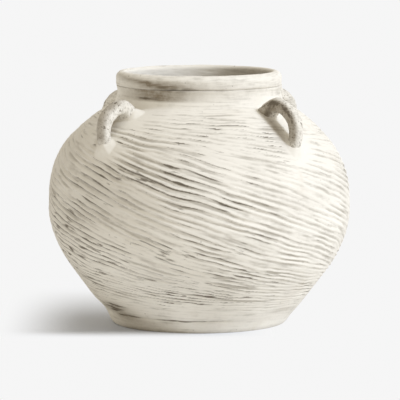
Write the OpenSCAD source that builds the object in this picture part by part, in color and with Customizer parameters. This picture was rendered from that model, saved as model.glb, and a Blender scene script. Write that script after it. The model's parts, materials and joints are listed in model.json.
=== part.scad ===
// Round jar planter of stoneware with four loop handles on its shoulder, in millimetres.
// It is put together as a potter does it: a thick base, two thrown bowls joined at the belly,
// a neck collar, a rim roll, and handle coils set on pads of clay.
// The origin is the middle of the foot, on the surface that the planter stands on, and +Z is up.

/* [Body] */
// Greatest diameter of the body
body_d = 330; // [300:1:360]
// Height above the shelf at which the body reaches its greatest diameter
belly_z = 130; // [115:1:145]
// Height of the upright band there
belly_band_h = 12.5; // [9:0.5:20]
// Profile radius of the shoulder
shoulder_r = 106; // [100:1:112]
// Profile radius below the greatest diameter
lower_r = 116; // [100:1:130]
// Lean of the straight lower wall from upright, in degrees
lower_lean = 38; // [33:1:42]
// Thickness of the thrown wall
wall = 10; // [8:0.5:12]

/* [Base] */
// Height of the plain band at the edge of the base
base_h = 14; // [11:1:18]
// Depth of the hollow turned under the base
foot_recess_h = 4; // [2:0.5:6]
// Width of the ring that the planter stands on
foot_w = 16; // [10:1:24]
// Rounding of the lowest edge
foot_round = 3; // [1:0.5:5]
// Diameter of the drain hole
drain_d = 24; // [16:1:32]

/* [Neck and rim] */
// Outer diameter of the neck
neck_d = 180; // [166:1:196]
// Profile radius of the hollow between shoulder and neck
neck_fillet = 8; // [5:0.5:11]
// Height of the upright part of the neck
neck_h = 13; // [8:0.5:20]
// Thickness of the rim roll
rim_w = 12; // [10:0.5:15]
// Height of the rim roll
rim_h = 16; // [13:0.5:22]
// Rounding of the rim's outer top edge
rim_round = 7; // [5:0.5:8.5]
// Rounding of the crease under the rim
rim_crease = 3; // [1.5:0.5:4]

/* [Handles] */
// Diameter of a handle's coil
coil_d = 14; // [11:0.5:17]
// Radius of a handle's loop, to the middle of its coil
loop_r = 32; // [28:0.5:36]
// Depth of the loop's centre under the shoulder's surface
loop_sink = 12.5; // [10:0.5:15]
// Way along the shoulder from the hollow under the neck to the middle of a handle's upper root
handle_gap = 3.7; // [2:0.1:8]
// Width of a pad of clay under a handle's root
pad_d = 30; // [24:1:36]
// Height of a pad of clay
pad_h = 6; // [4:0.5:8]

/* [Combing] */
// Depth of a main groove of the comb at its middle, at the belly
comb_depth = 1.4; // [0.8:0.1:2]
// Radius of the comb's six-sided tooth, to its edge
comb_tooth_r = 4; // [3:0.5:6]
// Slope of the grooves at the belly, down to the right, in degrees
comb_slope = 18; // [8:1:24]
// Way up the wall from one row of grooves to the next
comb_row = 28; // [24:1:36]
// Way round the body from one groove to the next
comb_step = 80; // [66:1:110]
// Way left plain under the neck and over the base
comb_plain = 18; // [14:1:26]
// How far a groove strays from its place, as a share of the way to the next one
comb_stray = 0.25; // [0:0.05:0.3]

/* [Seams] */
// Half the height of the slanted joint between the two bowls
scarf_h = 5; // [3:0.5:8]
// Diameter of the coil pressed over the joint inside
belly_coil_d = 10; // [7:0.5:13]
// Radius of the coil pressed into the corner of the floor
floor_coil_r = 7; // [5:0.5:10]

/* [Drain plug] */
// Clearance of the plug's stem in the drain hole, on each side
plug_clearance = 0.05; // [0.02:0.01:0.1]
// How far the stem stops short of the underside of the floor
plug_short = 1; // [0.5:0.5:3]
// Chamfer at the tip of the stem
plug_tip = 1.5; // [0.5:0.5:2.5]
// How far the flange reaches past the hole
plug_lap = 6; // [4:0.5:9]
// Thickness of the flange
plug_flange_h = 4; // [3:0.5:6]
// Diameter of the knob that the plug is pulled by
plug_knob_d = 14; // [11:0.5:18]
// Height of the knob over the flange
plug_knob_h = 9; // [7:0.5:12]

/* [Hidden] */
$fn = 256;
// Steps of a curve in the profile of a bowl
arc_steps = 32;
clay = "AntiqueWhite";
bare_clay = "Tan";
plug_rubber = "DimGray";

// The sides of the body that the handles stand on, a quarter turn apart from +X
sides = ["right", "back", "left", "front"];
quarter_turn = 90;
levels = ["upper", "lower"];

function polar(angle) = [cos(angle), sin(angle)];
function arc(centre, radius, from, to) =
    [for (k = [0 : arc_steps]) centre + radius * polar(from + (to - from) * k / arc_steps)];

// Profile points are [radius, height]. Each curve starts where the one before it ends, in line with it.
body_r = body_d / 2;
lower_c = [body_r - lower_r, belly_z];
shoulder_c = [body_r - shoulder_r, belly_z + belly_band_h];

// The lower wall leaves its curve at lower_lean and runs straight down to the base
lean_out = lower_c + lower_r * polar(-lower_lean);
lean_in = lower_c + (lower_r - wall) * polar(-lower_lean);
function wall_out(z) = lean_out[0] - (lean_out[1] - z) * tan(lower_lean);
function wall_in(z) = lean_in[0] - (lean_in[1] - z) * tan(lower_lean);

// The two bowls meet on a slant, which is higher inside than outside
scarf_out = -asin(scarf_h / lower_r);
scarf_in = [body_r - wall, belly_z + scarf_h];

// The hollow under the neck touches both the shoulder's curve and the upright neck
neck_r = neck_d / 2;
mouth_r = neck_r - wall;
fillet_rise = sqrt(pow(shoulder_r + neck_fillet, 2) - pow(neck_r + neck_fillet - shoulder_c[0], 2));
fillet_c = [neck_r + neck_fillet, shoulder_c[1] + fillet_rise];
shoulder_end = atan2(fillet_rise, fillet_c[0] - shoulder_c[0]);
neck_top = fillet_c[1] + neck_h;
rim_r = mouth_r + rim_w;
rim_top = neck_top + rim_h;

// The rounded lowest edge touches the shelf and the leaning edge of the base
foot_c = [wall_out(foot_round) - foot_round / cos(lower_lean), foot_round];
recess_r = foot_c[0] - foot_w;
drain_r = drain_d / 2;

// A handle's loop, and the places where the middle of its coil meets the shoulder: root_spread
// is the angle from each of them to the middle of the handle, seen from the shoulder's centre
function on_shoulder(angle, lift) = shoulder_c + (shoulder_r + lift) * polar(angle);
loop_reach = shoulder_r - loop_sink;
root_spread = acos((shoulder_r * shoulder_r + loop_reach * loop_reach - loop_r * loop_r)
    / (2 * shoulder_r * loop_reach));
handle_angle = shoulder_end - asin(handle_gap / shoulder_r) - root_spread;
loop_c = on_shoulder(handle_angle, -loop_sink);
pad_sphere_r = (pad_d * pad_d / 4 + pad_h * pad_h) / (2 * pad_h);

// Outside of the wall as [radius, height, facing], by the way along it from the belly, up or down
function arc_way(angle, radius) = angle * radius * PI / 180;
function arc_angle(way, radius) = way / radius * 180 / PI;
function on_arc(centre, radius, angle) = concat(centre + radius * polar(angle), [angle]);
lean_way = arc_way(lower_lean, lower_r);
lower_way = lean_way + (lean_out[1] - base_h) / cos(lower_lean);
upper_way = belly_band_h + arc_way(shoulder_end, shoulder_r);
function wall_place(way) =
    way < -lean_way ? concat(lean_out + (way + lean_way) * polar(90 - lower_lean), [-lower_lean])
    : way < 0 ? on_arc(lower_c, lower_r, arc_angle(way, lower_r))
    : way < belly_band_h ? [body_r, belly_z + way, 0]
    : on_arc(shoulder_c, shoulder_r, arc_angle(way - belly_band_h, shoulder_r));

// The comb's grooves are deepest and steepest at the belly, and fade towards the neck and the base
function comb_share(z) =
    cos(90 * (z < belly_z ? (belly_z - z) / belly_z : (z - belly_z) / (fillet_c[1] - belly_z)));
comb_rows_down = floor((lower_way - comb_plain) / comb_row);
comb_rows_up = floor((upper_way - comb_plain) / comb_row);
comb_tooth_sides = 6;
golden_angle = 137.5;
function stray(k) = comb_stray * sin(golden_angle * k);

// A groove runs out where the wall curves away from it, and none reaches under a pad
comb_reach = sqrt(2 * comb_depth * body_r);
pads_way = belly_band_h + arc_way(handle_angle - root_spread, shoulder_r) - pad_d / 2 - comb_tooth_r;
function off_side(turn) = abs((turn + quarter_turn / 2) % quarter_turn - quarter_turn / 2);
function clear_of_pads(way, turn, radius) =
    way < pads_way || arc_way(off_side(turn), radius) > pad_d / 2 + comb_reach;

// Sector of a ring in the profile plane, between two radii and two angles under a half turn apart
module ring_sector(centre, r_in, r_out, from, to) {
    reach = 2 * r_out;
    translate(centre)
        intersection() {
            difference() {
                circle(r_out);
                if (r_in > 0) circle(r_in);
            }
            polygon([[0, 0], reach * polar(from), reach * polar((from + to) / 2), reach * polar(to)]);
        }
}

// Rectangle in the profile plane, given by two of its corners
module block(low, high) {
    translate(low) square(high - low);
}

// What a handle or a pad is cut back to: the filled shoulder and the neck
module pot_filled() {
    rotate_extrude()
        intersection() {
            translate(shoulder_c) circle(shoulder_r);
            block([0, 0], [body_d, rim_top]);
        }
    neck_collar();
    translate([0, 0, shoulder_c[1]]) cylinder(r = neck_r - wall / 2, h = neck_top - shoulder_c[1]);
}

module loop_ring(radius) {
    translate([loop_c[0], 0, loop_c[1]])
        rotate([90, 0, 0])
            rotate_extrude()
                translate([loop_r, 0]) circle(radius);
}

// One groove, cut by a straight stroke with an edge of the tooth
module comb_groove(place, turn) {
    share = comb_share(place[1]);
    depth = comb_depth * share;
    rotate([0, 0, turn])
        translate([place[0], 0, place[1]])
            rotate([0, -place[2], 0])
                translate([comb_tooth_r - depth, 0, 0])
                    rotate([90 - comb_slope * share, 0, 0])
                        cylinder(
                            r = comb_tooth_r,
                            h = 3 * comb_reach * sqrt(share),
                            center = true,
                            $fn = comb_tooth_sides
                        );
}

// Rows of grooves all round the body, each a little out of line, as a hand sets them
module comb_grooves() {
    for (row = [-comb_rows_down : comb_rows_up - 1]) {
        count = round(2 * PI * wall_place(comb_row * (row + 0.5))[0] / comb_step);
        for (k = [0 : count - 1]) {
            way = comb_row * (row + 0.5 + stray(5 * k + 2 * row));
            turn = 360 * (k + 1 + stray(3 * k + 5 * row)) / count;
            place = wall_place(way);
            if (clear_of_pads(way, turn, place[0])) comb_groove(place, turn);
        }
    }
}

module base_slab() {
    color(clay)
        rotate_extrude() {
            polygon([
                [drain_r, foot_recess_h],
                [recess_r, foot_recess_h],
                [recess_r, 0],
                [foot_c[0], 0],
                foot_c,
                foot_c + foot_round * polar(-lower_lean),
                [wall_out(base_h), base_h],
                [drain_r, base_h]
            ]);
            ring_sector(foot_c, 0, foot_round, -90, -lower_lean);
        }
}

// Coil in the corner between the floor and the leaning wall
module floor_seam_coil() {
    color(bare_clay)
        rotate_extrude()
            ring_sector([wall_in(base_h), base_h], 0, floor_coil_r, 90 - lower_lean, 180);
}

module lower_bowl() {
    color(clay)
        difference() {
            rotate_extrude()
                polygon(concat(
                    [[wall_out(base_h), base_h]],
                    arc(lower_c, lower_r, -lower_lean, scarf_out),
                    [scarf_in],
                    arc(lower_c, lower_r - wall, 0, -lower_lean),
                    [[wall_in(base_h), base_h]]
                ));
            comb_grooves();
        }
}

module upper_bowl() {
    color(clay)
        difference() {
            rotate_extrude()
                polygon(concat(
                    arc(lower_c, lower_r, scarf_out, 0),
                    arc(shoulder_c, shoulder_r, 0, shoulder_end),
                    arc(shoulder_c, shoulder_r - wall, shoulder_end, 0),
                    [scarf_in]
                ));
            comb_grooves();
        }
}

// Half-round coil over the joint of the two bowls, inside
module belly_seam_coil() {
    color(bare_clay)
        rotate_extrude()
            ring_sector(scarf_in, 0, belly_coil_d / 2, 90, 270);
}

module neck_collar() {
    color(clay)
        rotate_extrude() {
            ring_sector(fillet_c, neck_fillet, neck_fillet + wall, 180, 180 + shoulder_end);
            block([mouth_r, fillet_c[1]], [neck_r, neck_top]);
        }
}

// Rim with a rounded top, an upright face and a rounded crease where it sits on the neck
module rim_roll() {
    crest_r = rim_r - rim_round;
    inner_round = rim_w - rim_round;
    crease_c = [rim_r - rim_crease, neck_top + rim_crease];
    color(clay)
        rotate_extrude() {
            block([mouth_r, neck_top], [crease_c[0], crease_c[1]]);
            ring_sector(crease_c, 0, rim_crease, -90, 0);
            block([mouth_r, crease_c[1]], [crest_r, rim_top - inner_round]);
            block([crest_r, crease_c[1]], [rim_r, rim_top - rim_round]);
            ring_sector([crest_r, rim_top - rim_round], 0, rim_round, 0, 90);
            ring_sector([crest_r, rim_top - inner_round], 0, inner_round, 90, 180);
        }
}

// One loop of coil that stands upright across the shoulder, on the +X side
module handle() {
    color(clay)
        difference() {
            loop_ring(coil_d / 2);
            pot_filled();
        }
}

// Low dome of clay round one root of a handle, on the +X side
module pad(level) {
    root = handle_angle + (level == "upper" ? root_spread : -root_spread);
    dome_c = on_shoulder(root, pad_h - pad_sphere_r);
    color(clay)
        difference() {
            translate([dome_c[0], 0, dome_c[1]]) sphere(pad_sphere_r);
            loop_ring(coil_d / 2);
            pot_filled();
        }
}

// Stopper with a stem in the drain hole, a flange on the floor and a knob to pull
module drain_plug() {
    stem_r = drain_r - plug_clearance;
    stem_low = foot_recess_h + plug_short;
    flange_r = drain_r + plug_lap;
    flange_top = base_h + plug_flange_h;
    knob_r = plug_knob_d / 2;
    color(plug_rubber)
        rotate_extrude() {
            polygon([
                [0, stem_low],
                [stem_r - plug_tip, stem_low],
                [stem_r, stem_low + plug_tip],
                [stem_r, base_h],
                [flange_r, base_h],
                [flange_r, flange_top - plug_flange_h / 2],
                [flange_r - plug_flange_h / 2, flange_top],
                [0, flange_top]
            ]);
            block([0, flange_top], [knob_r, flange_top + plug_knob_h - knob_r / 2]);
            block([0, flange_top], [knob_r / 2, flange_top + plug_knob_h]);
            ring_sector([knob_r / 2, flange_top + plug_knob_h - knob_r / 2], 0, knob_r / 2, 0, 90);
        }
}

base_slab();
floor_seam_coil();
lower_bowl();
belly_seam_coil();
upper_bowl();
neck_collar();
rim_roll();
drain_plug();
for (k = [0 : len(sides) - 1])
    rotate([0, 0, k * quarter_turn]) {
        handle();
        for (level = levels)
            pad(level);
    }
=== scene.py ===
# %% [markdown]
# # A combed jar planter with four loop handles
#
# The planter is a round stoneware jar under pale slip. A potter threw a lower and an upper bowl,
# joined them at the belly, added a neck and a rim, and set four loops of coil on the shoulder.
# While the clay was soft, the wall was combed with a toothed tool. A dark wash stayed in the grooves.
#
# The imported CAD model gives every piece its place. This lesson dresses each piece with a finer mesh
# and a finish of its own, in the same frame and in metres.

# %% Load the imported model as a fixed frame
import json
import math

import bmesh
import bpy
import numpy as np
from mathutils import Matrix, Vector, noise


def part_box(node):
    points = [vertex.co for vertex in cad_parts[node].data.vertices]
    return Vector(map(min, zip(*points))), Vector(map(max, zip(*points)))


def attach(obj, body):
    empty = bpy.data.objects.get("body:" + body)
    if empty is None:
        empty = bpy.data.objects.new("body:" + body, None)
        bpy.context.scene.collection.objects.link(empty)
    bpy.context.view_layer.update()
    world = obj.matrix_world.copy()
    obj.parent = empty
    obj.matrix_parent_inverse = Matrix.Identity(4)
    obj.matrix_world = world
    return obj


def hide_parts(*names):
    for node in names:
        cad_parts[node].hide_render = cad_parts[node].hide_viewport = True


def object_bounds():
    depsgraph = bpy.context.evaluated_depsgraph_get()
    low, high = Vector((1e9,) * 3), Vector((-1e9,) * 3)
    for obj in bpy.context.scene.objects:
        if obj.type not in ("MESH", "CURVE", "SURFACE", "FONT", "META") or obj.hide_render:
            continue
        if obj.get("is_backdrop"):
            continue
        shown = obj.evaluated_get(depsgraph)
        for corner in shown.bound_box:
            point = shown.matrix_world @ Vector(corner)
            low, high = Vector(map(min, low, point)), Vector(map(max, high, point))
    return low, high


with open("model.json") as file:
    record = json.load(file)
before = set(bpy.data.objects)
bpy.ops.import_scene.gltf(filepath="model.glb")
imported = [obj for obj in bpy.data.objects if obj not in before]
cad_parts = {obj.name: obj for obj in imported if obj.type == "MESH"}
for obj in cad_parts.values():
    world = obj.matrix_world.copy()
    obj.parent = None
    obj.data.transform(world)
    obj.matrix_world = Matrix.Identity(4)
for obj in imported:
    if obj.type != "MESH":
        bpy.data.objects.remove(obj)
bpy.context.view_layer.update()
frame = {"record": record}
TAU = 2 * math.pi
QUARTER = math.pi / 2
MM = 0.001
scene = bpy.context.scene

# %% [markdown]
# ## Camera
#
# The photograph is taken from far away with a long lens, a little above the rim, with two of the
# handles an eighth of a turn to the left and right. A long lens keeps the rim's ellipse narrow.
# The camera is aimed by two points instead of typed angles, so its place can be read off directly.

# %% Camera at the photograph's viewing angle
CAMERA_TURN = math.radians(45)
CAMERA_AWAY = 3.7
CAMERA_HEIGHT = 0.5497
CAMERA_LENS = 303.06
SENSOR_WIDTH = 36
AIM_HEIGHT = 0.1348
AIM_RIGHT = 0.0013


def put(name, data):
    """A new object with that data, linked into the scene."""
    made = bpy.data.objects.new(name, data)
    scene.collection.objects.link(made)
    return made


to_right = Vector((math.cos(CAMERA_TURN), math.sin(CAMERA_TURN), 0))
to_camera = Vector((math.sin(CAMERA_TURN), -math.cos(CAMERA_TURN), 0))
camera_data = bpy.data.cameras.new("photo_camera")
camera_data.lens = CAMERA_LENS
camera_data.sensor_width = SENSOR_WIDTH
camera = put("photo_camera", camera_data)
camera.location = to_camera * CAMERA_AWAY + Vector((0, 0, CAMERA_HEIGHT))
aim = to_right * AIM_RIGHT + Vector((0, 0, AIM_HEIGHT))
camera.rotation_euler = (aim - camera.location).to_track_quat("-Z", "Y").to_euler()
scene.camera = camera
print("camera stands at", [round(x, 3) for x in camera.location])

# %% [markdown]
# ## Shader sums in plain Python
#
# A finish is a tree of nodes. Wiring it by hand takes many lines, so one small class wraps a socket
# and turns Python's own signs into Math nodes. A second class holds the tree and adds any other node
# from its type, what goes into its sockets and its settings.

# %% Sockets that add up, and finishes made of nodes
def sign(operation):
    """Two methods for one sign: with the tone on its left, and with the tone on its right."""

    def tone_left(self, other):
        return self.sum(operation, self, other)

    def tone_right(self, other):
        return self.sum(operation, other, self)

    return tone_left, tone_right


class Tone:
    """One number or colour on its way through a finish. Sums on it add Math nodes."""

    __add__, __radd__ = sign("ADD")
    __sub__, __rsub__ = sign("SUBTRACT")
    __mul__, __rmul__ = sign("MULTIPLY")

    def __init__(self, finish, socket):
        self.finish = finish
        self.socket = socket

    def sum(self, operation, first, second):
        sockets = {"Value": first, "Value_001": second}
        return self.finish.node("ShaderNodeMath", sockets, operation=operation)


class Finish:
    """A tree of nodes, on a material or on the world."""

    def __init__(self, owner):
        owner.use_nodes = True
        self.owner = owner
        self.tree = owner.node_tree
        self.tree.nodes.clear()

    def node(self, kind, sockets=None, output=None, **settings):
        made = self.tree.nodes.new(kind)
        for key, value in settings.items():
            setattr(made, key, value)
        for key, value in (sockets or {}).items():
            socket = self.find(made.inputs, key)
            if isinstance(value, Tone):
                self.tree.links.new(value.socket, socket)
            elif socket.type == "RGBA":
                socket.default_value = (*value, 1)
            else:
                socket.default_value = value
        if not made.outputs:
            return None
        return Tone(self, self.find(made.outputs, output) if output else made.outputs[0])

    @staticmethod
    def find(sockets, key):
        named = [socket for socket in sockets if socket.identifier == key]
        return named[0] if named else sockets[key]

    def step(self, value, low, high):
        """A soft step from 0 at low to 1 at high."""
        sockets = {"Value": value, "From Min": low, "From Max": high}
        return self.node("ShaderNodeMapRange", sockets, interpolation_type="SMOOTHSTEP")

    def blend(self, share, first, second):
        """The first colour where share is 0, the second where it is 1."""
        sockets = {"Factor_Float": share, "A_Color": first, "B_Color": second}
        return self.node("ShaderNodeMix", sockets, "Result_Color", data_type="RGBA")

    def mix(self, share, first, second):
        """The first shader where share is 0, the second where it is 1."""
        sockets = {"Fac": share, "Shader": first, "Shader_001": second}
        return self.node("ShaderNodeMixShader", sockets)

    def cloud(self, place, scale, detail, rough=0.5):
        """Noise from 0 to 1, with about scale features in a metre."""
        sockets = {"Vector": place, "Scale": scale, "Detail": detail, "Roughness": rough}
        return self.node("ShaderNodeTexNoise", sockets)

    def read(self, name):
        """A number kept at each vertex of the mesh."""
        return self.node("ShaderNodeAttribute", None, "Fac", attribute_name=name)

    def place(self):
        return self.node("ShaderNodeTexCoord", None, "Object")

    def shown(self):
        """1 for a ray that the camera sees: straight, mirrored or through glass."""
        kinds = ("Is Camera Ray", "Is Glossy Ray", "Is Transmission Ray")
        straight_ray, mirrored, through = [self.node("ShaderNodeLightPath", None, kind) for kind in kinds]
        return self.step(straight_ray + mirrored + through, 0.0, 1.0)

    def surface(self, colour, roughness, bump, specular):
        """The whole material; bump holds its strength, its distance in metres and its height."""
        normal = self.node("ShaderNodeBump", dict(zip(("Strength", "Distance", "Height"), bump)))
        sockets = {"Base Color": colour, "Roughness": roughness, "Normal": normal}
        shader = self.node("ShaderNodeBsdfPrincipled", {**sockets, "Specular IOR Level": specular})
        self.node("ShaderNodeOutputMaterial", {"Surface": shader})
        return self.owner


# %% [markdown]
# ## Stage and light
#
# The photograph has a plain pale ground without a horizon, one large soft light from the right and
# a weak fill all round. A sun with a wide angle gives the same soft edge to every shadow. The world
# fills the shade, and shows the pale ground's colour wherever the camera looks past the floor. The
# floor keeps its shadow near the foot only, and further out it shows the same pale colour.

# %% Floor
GROUND = (0.88, 0.88, 0.88)
GROUND_SEEN = (0.63, 0.66, 0.73)
BACKDROP = (0.92, 0.92, 0.92)
FLOOR_R = 40
SHADOW_ENDS = [("X", -1, 0.122, 0.222), ("X", 1, 0.0, 0.08), ("Y", 1, -0.02, 0.30), ("Y", -1, 0.07, 0.13)]

scene.view_settings.view_transform = "Standard"
floor_tool = bmesh.new()
bmesh.ops.create_circle(floor_tool, cap_ends=True, segments=96, radius=FLOOR_R)
floor_data = bpy.data.meshes.new("studio_floor")
floor_tool.to_mesh(floor_data)
floor_tool.free()
studio_floor = put("studio_floor", floor_data)
studio_floor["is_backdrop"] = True

ground = Finish(bpy.data.materials.new("studio_ground"))
ground_shown = ground.shown()
ground_colour = ground.blend(ground_shown, GROUND, GROUND_SEEN)
matt = {"Base Color": ground_colour, "Roughness": 1.0, "Specular IOR Level": 0.0}
matt = ground.node("ShaderNodeBsdfPrincipled", matt)
glow = ground.node("ShaderNodeEmission", {"Color": BACKDROP, "Strength": 1.0})
turned = {"Vector": ground.place(), "Rotation": (0, 0, -CAMERA_TURN)}
turned = ground.node("ShaderNodeMapping", turned)
in_shadow = 1
for axis, way, low, high in SHADOW_ENDS:
    reach = ground.node("ShaderNodeSeparateXYZ", {"Vector": turned}, axis) * way
    in_shadow = in_shadow * (1 - ground.step(reach, low, high))
ground_mix = ground.mix(ground_shown * (1 - in_shadow), matt, glow)
ground.node("ShaderNodeOutputMaterial", {"Surface": ground_mix})
floor_data.materials.append(ground.owner)
print("floor is", FLOOR_R, "m in radius")

# %% World and one soft light
FILL = (1.0, 0.927, 0.795)
FILL_STRENGTH = 0.675
KEY = (0.925, 1.0, 1.14)
KEY_STRENGTH = 2.0
KEY_SOFTNESS = math.radians(14)
KEY_RIGHT, KEY_FRONT, KEY_UP = 0.76, 0.29, 0.58

scene.world = bpy.data.worlds.new("studio_world")
air = Finish(scene.world)
fill_light = air.node("ShaderNodeBackground", {"Color": FILL, "Strength": FILL_STRENGTH})
shown_sky = air.node("ShaderNodeBackground", {"Color": BACKDROP, "Strength": 1.0})
air.node("ShaderNodeOutputWorld", {"Surface": air.mix(air.shown(), fill_light, shown_sky)})

key_data = bpy.data.lights.new("soft_key", "SUN")
key_data.energy = KEY_STRENGTH
key_data.color = KEY
key_data.angle = KEY_SOFTNESS
key_from = to_right * KEY_RIGHT + to_camera * KEY_FRONT + Vector((0, 0, KEY_UP))
put("soft_key", key_data).rotation_euler = key_from.to_track_quat("Z", "Y").to_euler()
print("key light comes from", [round(x, 2) for x in key_from.normalized()])

# %% [markdown]
# ## The wall's two lines
#
# Everything that was thrown on the wheel follows two lines: the outside of the wall and its inside.
# They are drawn once, from foot to neck, and each piece takes its stretch of them. A point on a line
# is given by its way along the wall in millimetres, counted from the top edge of the base.
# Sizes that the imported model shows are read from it. Radii of curves are named here.

# %% Sizes of the thrown wall
def box_mm(node):
    low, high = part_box(node)
    return np.array(low) / MM, np.array(high) / MM


LOWER_R = 116.0
SHOULDER_R = 106.0
BAND_H = 12.5
LEAN = math.radians(38)
WALL = 10.0
FILLET_R = 8.0
NECK_H = 13.0
FOOT_ROUND = 3.0

mouth = next(mount for mount in frame["record"]["mounts"] if mount["kind"] == "bore")
MOUTH_R = mouth["dims"]["r_mm"]
BODY_R = box_mm("upper_bowl")[1][0]
SCARF_LOW = box_mm("upper_bowl")[0][2]
SCARF_HIGH = box_mm("lower_bowl")[1][2]
BELLY_Z = (SCARF_LOW + SCARF_HIGH) / 2
BASE_TOP = box_mm("base_slab")[1][2]
NECK_TOP = box_mm("neck_collar")[1][2]
RIM_R, _, RIM_TOP = box_mm("rim_roll")[1]
NECK_R = MOUTH_R + WALL
print(f"body radius {BODY_R:.1f}, belly at {BELLY_Z:.1f}, rim top at {RIM_TOP:.1f} mm")


# %% Wall lines from straight runs and bends
LINE_STEP = 0.25


def ray(angle):
    return np.stack([np.cos(angle), np.sin(angle)], axis=-1)


def straight(start, end):
    """Points of [radius, height] with the direction that faces right of the way."""
    run = np.array(end, float) - np.array(start, float)
    length = np.linalg.norm(run)
    share = np.linspace(0, 1, int(length / LINE_STEP) + 2)[:, None]
    facing = np.array([run[1], -run[0]]) / length
    return np.hstack([np.array(start) + run * share, facing + 0 * share])


def bend(centre, radius, first, last, side=1):
    """Points on an arc; side is 1 where the wall faces away from the arc's centre."""
    rays = ray(np.linspace(first, last, int(abs(last - first) * radius / LINE_STEP) + 2))
    return np.hstack([np.array(centre) + radius * rays, side * rays])


class WallLine:
    """A line of [radius, height] and facing, read by the way along it."""

    def __init__(self, runs, zero_height=None):
        self.points = np.vstack(runs)
        steps = np.hypot(*np.diff(self.points[:, :2], axis=0).T)
        self.ways = np.concatenate([[0], np.cumsum(steps)])
        if zero_height is not None:
            self.ways -= self.way_at(zero_height)

    def way_at(self, height):
        return float(np.interp(height, self.points[:, 1], self.ways))

    def at(self, way):
        return [np.interp(way, self.ways, column) for column in self.points.T]


LOWER_C = np.array([BODY_R - LOWER_R, BELLY_Z])
SHOULDER_C = np.array([BODY_R - SHOULDER_R, BELLY_Z + BAND_H])
FILLET_C = np.array([NECK_R + FILLET_R, NECK_TOP - NECK_H])
SHOULDER_END = math.atan2(*(FILLET_C - SHOULDER_C)[::-1])
LEAN_OUT = LOWER_C + LOWER_R * ray(-LEAN)
LEAN_IN = LOWER_C + (LOWER_R - WALL) * ray(-LEAN)


def leaning(corner, height):
    return np.array([corner[0] - (corner[1] - height) * math.tan(LEAN), height])


def wall_line(foot_runs, inset, side):
    """The line from the foot to the neck, set back from the outside by inset."""
    lower, shoulder, fillet = LOWER_R - inset, SHOULDER_R - inset, FILLET_R + inset
    runs = foot_runs + [
        bend(LOWER_C, lower, -LEAN, 0),
        straight(LOWER_C + [lower, 0], SHOULDER_C + [shoulder, 0]),
        bend(SHOULDER_C, shoulder, 0, SHOULDER_END),
        bend(FILLET_C, fillet, math.pi + SHOULDER_END, math.pi, -1),
        straight(FILLET_C - [fillet, 0], [NECK_R - inset, NECK_TOP]),
    ]
    for run in runs:
        run[:, 2:] *= side
    return WallLine(runs, BASE_TOP)


FOOT_C = leaning(LEAN_OUT, FOOT_ROUND) - np.array([FOOT_ROUND / math.cos(LEAN), 0])
outer_foot = bend(FOOT_C, FOOT_ROUND, -QUARTER, -LEAN)
outer_lean = straight(FOOT_C + FOOT_ROUND * ray(-LEAN), LEAN_OUT)
floor_corner = leaning(LEAN_IN, BASE_TOP)
OUTSIDE = wall_line([outer_foot, outer_lean], 0, 1)
INSIDE = wall_line([straight(floor_corner, LEAN_IN)], WALL, -1)

WAY_FOOT = OUTSIDE.ways[0]
WAY_SEAM = OUTSIDE.way_at(SCARF_LOW)
WAY_SEAM_IN = INSIDE.way_at(SCARF_HIGH)
WAY_NECK = OUTSIDE.way_at(SHOULDER_C[1] + SHOULDER_R * math.sin(SHOULDER_END))
WAY_NECK_IN = INSIDE.way_at(SHOULDER_C[1] + (SHOULDER_R - WALL) * math.sin(SHOULDER_END))
WAY_TOP = OUTSIDE.ways[-1]
WAY_TOP_IN = INSIDE.ways[-1]
print(f"outside line runs from {WAY_FOOT:.1f} to {WAY_TOP:.1f} mm, with the neck at {WAY_NECK:.1f}")

# %% [markdown]
# ## The combed wall
#
# The comb left long, wavy grooves side by side. They run down to the right, and fork and merge where
# two strokes meet. Between two grooves stands a sharp ridge: gentle above, steep below. A noise texture
# can't follow such lines round a curved wall, so the strokes are laid down one by one on an unrolled
# chart of the wall, where columns go round the pot and rows go up it. Each stroke is a patch of waves.
# The patches are summed twice, as cosines and as sines, because the two together tell at every place
# how far it is from the ridge below to the ridge above. The ridge's shape is then a formula of that.

# %% Chart of the unrolled wall
CHART_COLS = 1440
CHART_ROW = 0.6
CHART_LOW = -24.0
CHART_ROWS = int((WAY_TOP + 6 - CHART_LOW) / CHART_ROW)
MEAN_GIRTH = 140.0
dice = np.random.default_rng(526)


def blank():
    return np.zeros((CHART_ROWS, CHART_COLS))


def wrap(angle):
    """The same angle within half a turn of 0."""
    return (angle + math.pi) % TAU - math.pi


def bell(value, middle, half):
    """1 where the value is at the middle, fading out over half on both sides."""
    return np.exp(-(((value - middle) / half) ** 2))


def soft_step(value, low, high):
    share = np.clip((value - low) / (high - low), 0, 1)
    return share * share * (3 - 2 * share)


chart_ways = CHART_LOW + CHART_ROW * np.arange(CHART_ROWS)
chart_turns = np.arange(CHART_COLS) * TAU / CHART_COLS
chart_girth, chart_heights = OUTSIDE.at(chart_ways)[:2]
FRONT = math.atan2(to_camera.y, to_camera.x)
from_camera = wrap(chart_turns - FRONT)


def in_view(middle, half):
    """A bell round an angle from the camera's side, in degrees."""
    return bell(wrap(from_camera - math.radians(middle)), 0, math.radians(half))[None]


def band(middle, half):
    """A bell round a way up the wall."""
    return bell(chart_ways, middle, half)[:, None]


def climb(first, last):
    """A soft step from 0 at one way up the wall to 1 at another, above or below it."""
    return soft_step(chart_ways, first, last)[:, None]


def soft_noise(size):
    """Clouds of about that size in millimetres, closed round the pot, with a spread of 1."""
    up = np.fft.fftfreq(CHART_ROWS, CHART_ROW)[:, None]
    across = np.fft.rfftfreq(CHART_COLS, TAU * MEAN_GIRTH / CHART_COLS)[None]
    kept = np.exp(-0.5 * (TAU * size / 4) ** 2 * (up**2 + across**2))
    field = np.fft.irfft2(np.fft.rfft2(dice.standard_normal((CHART_ROWS, CHART_COLS))) * kept)
    return (field - field.mean()) / field.std()


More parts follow.
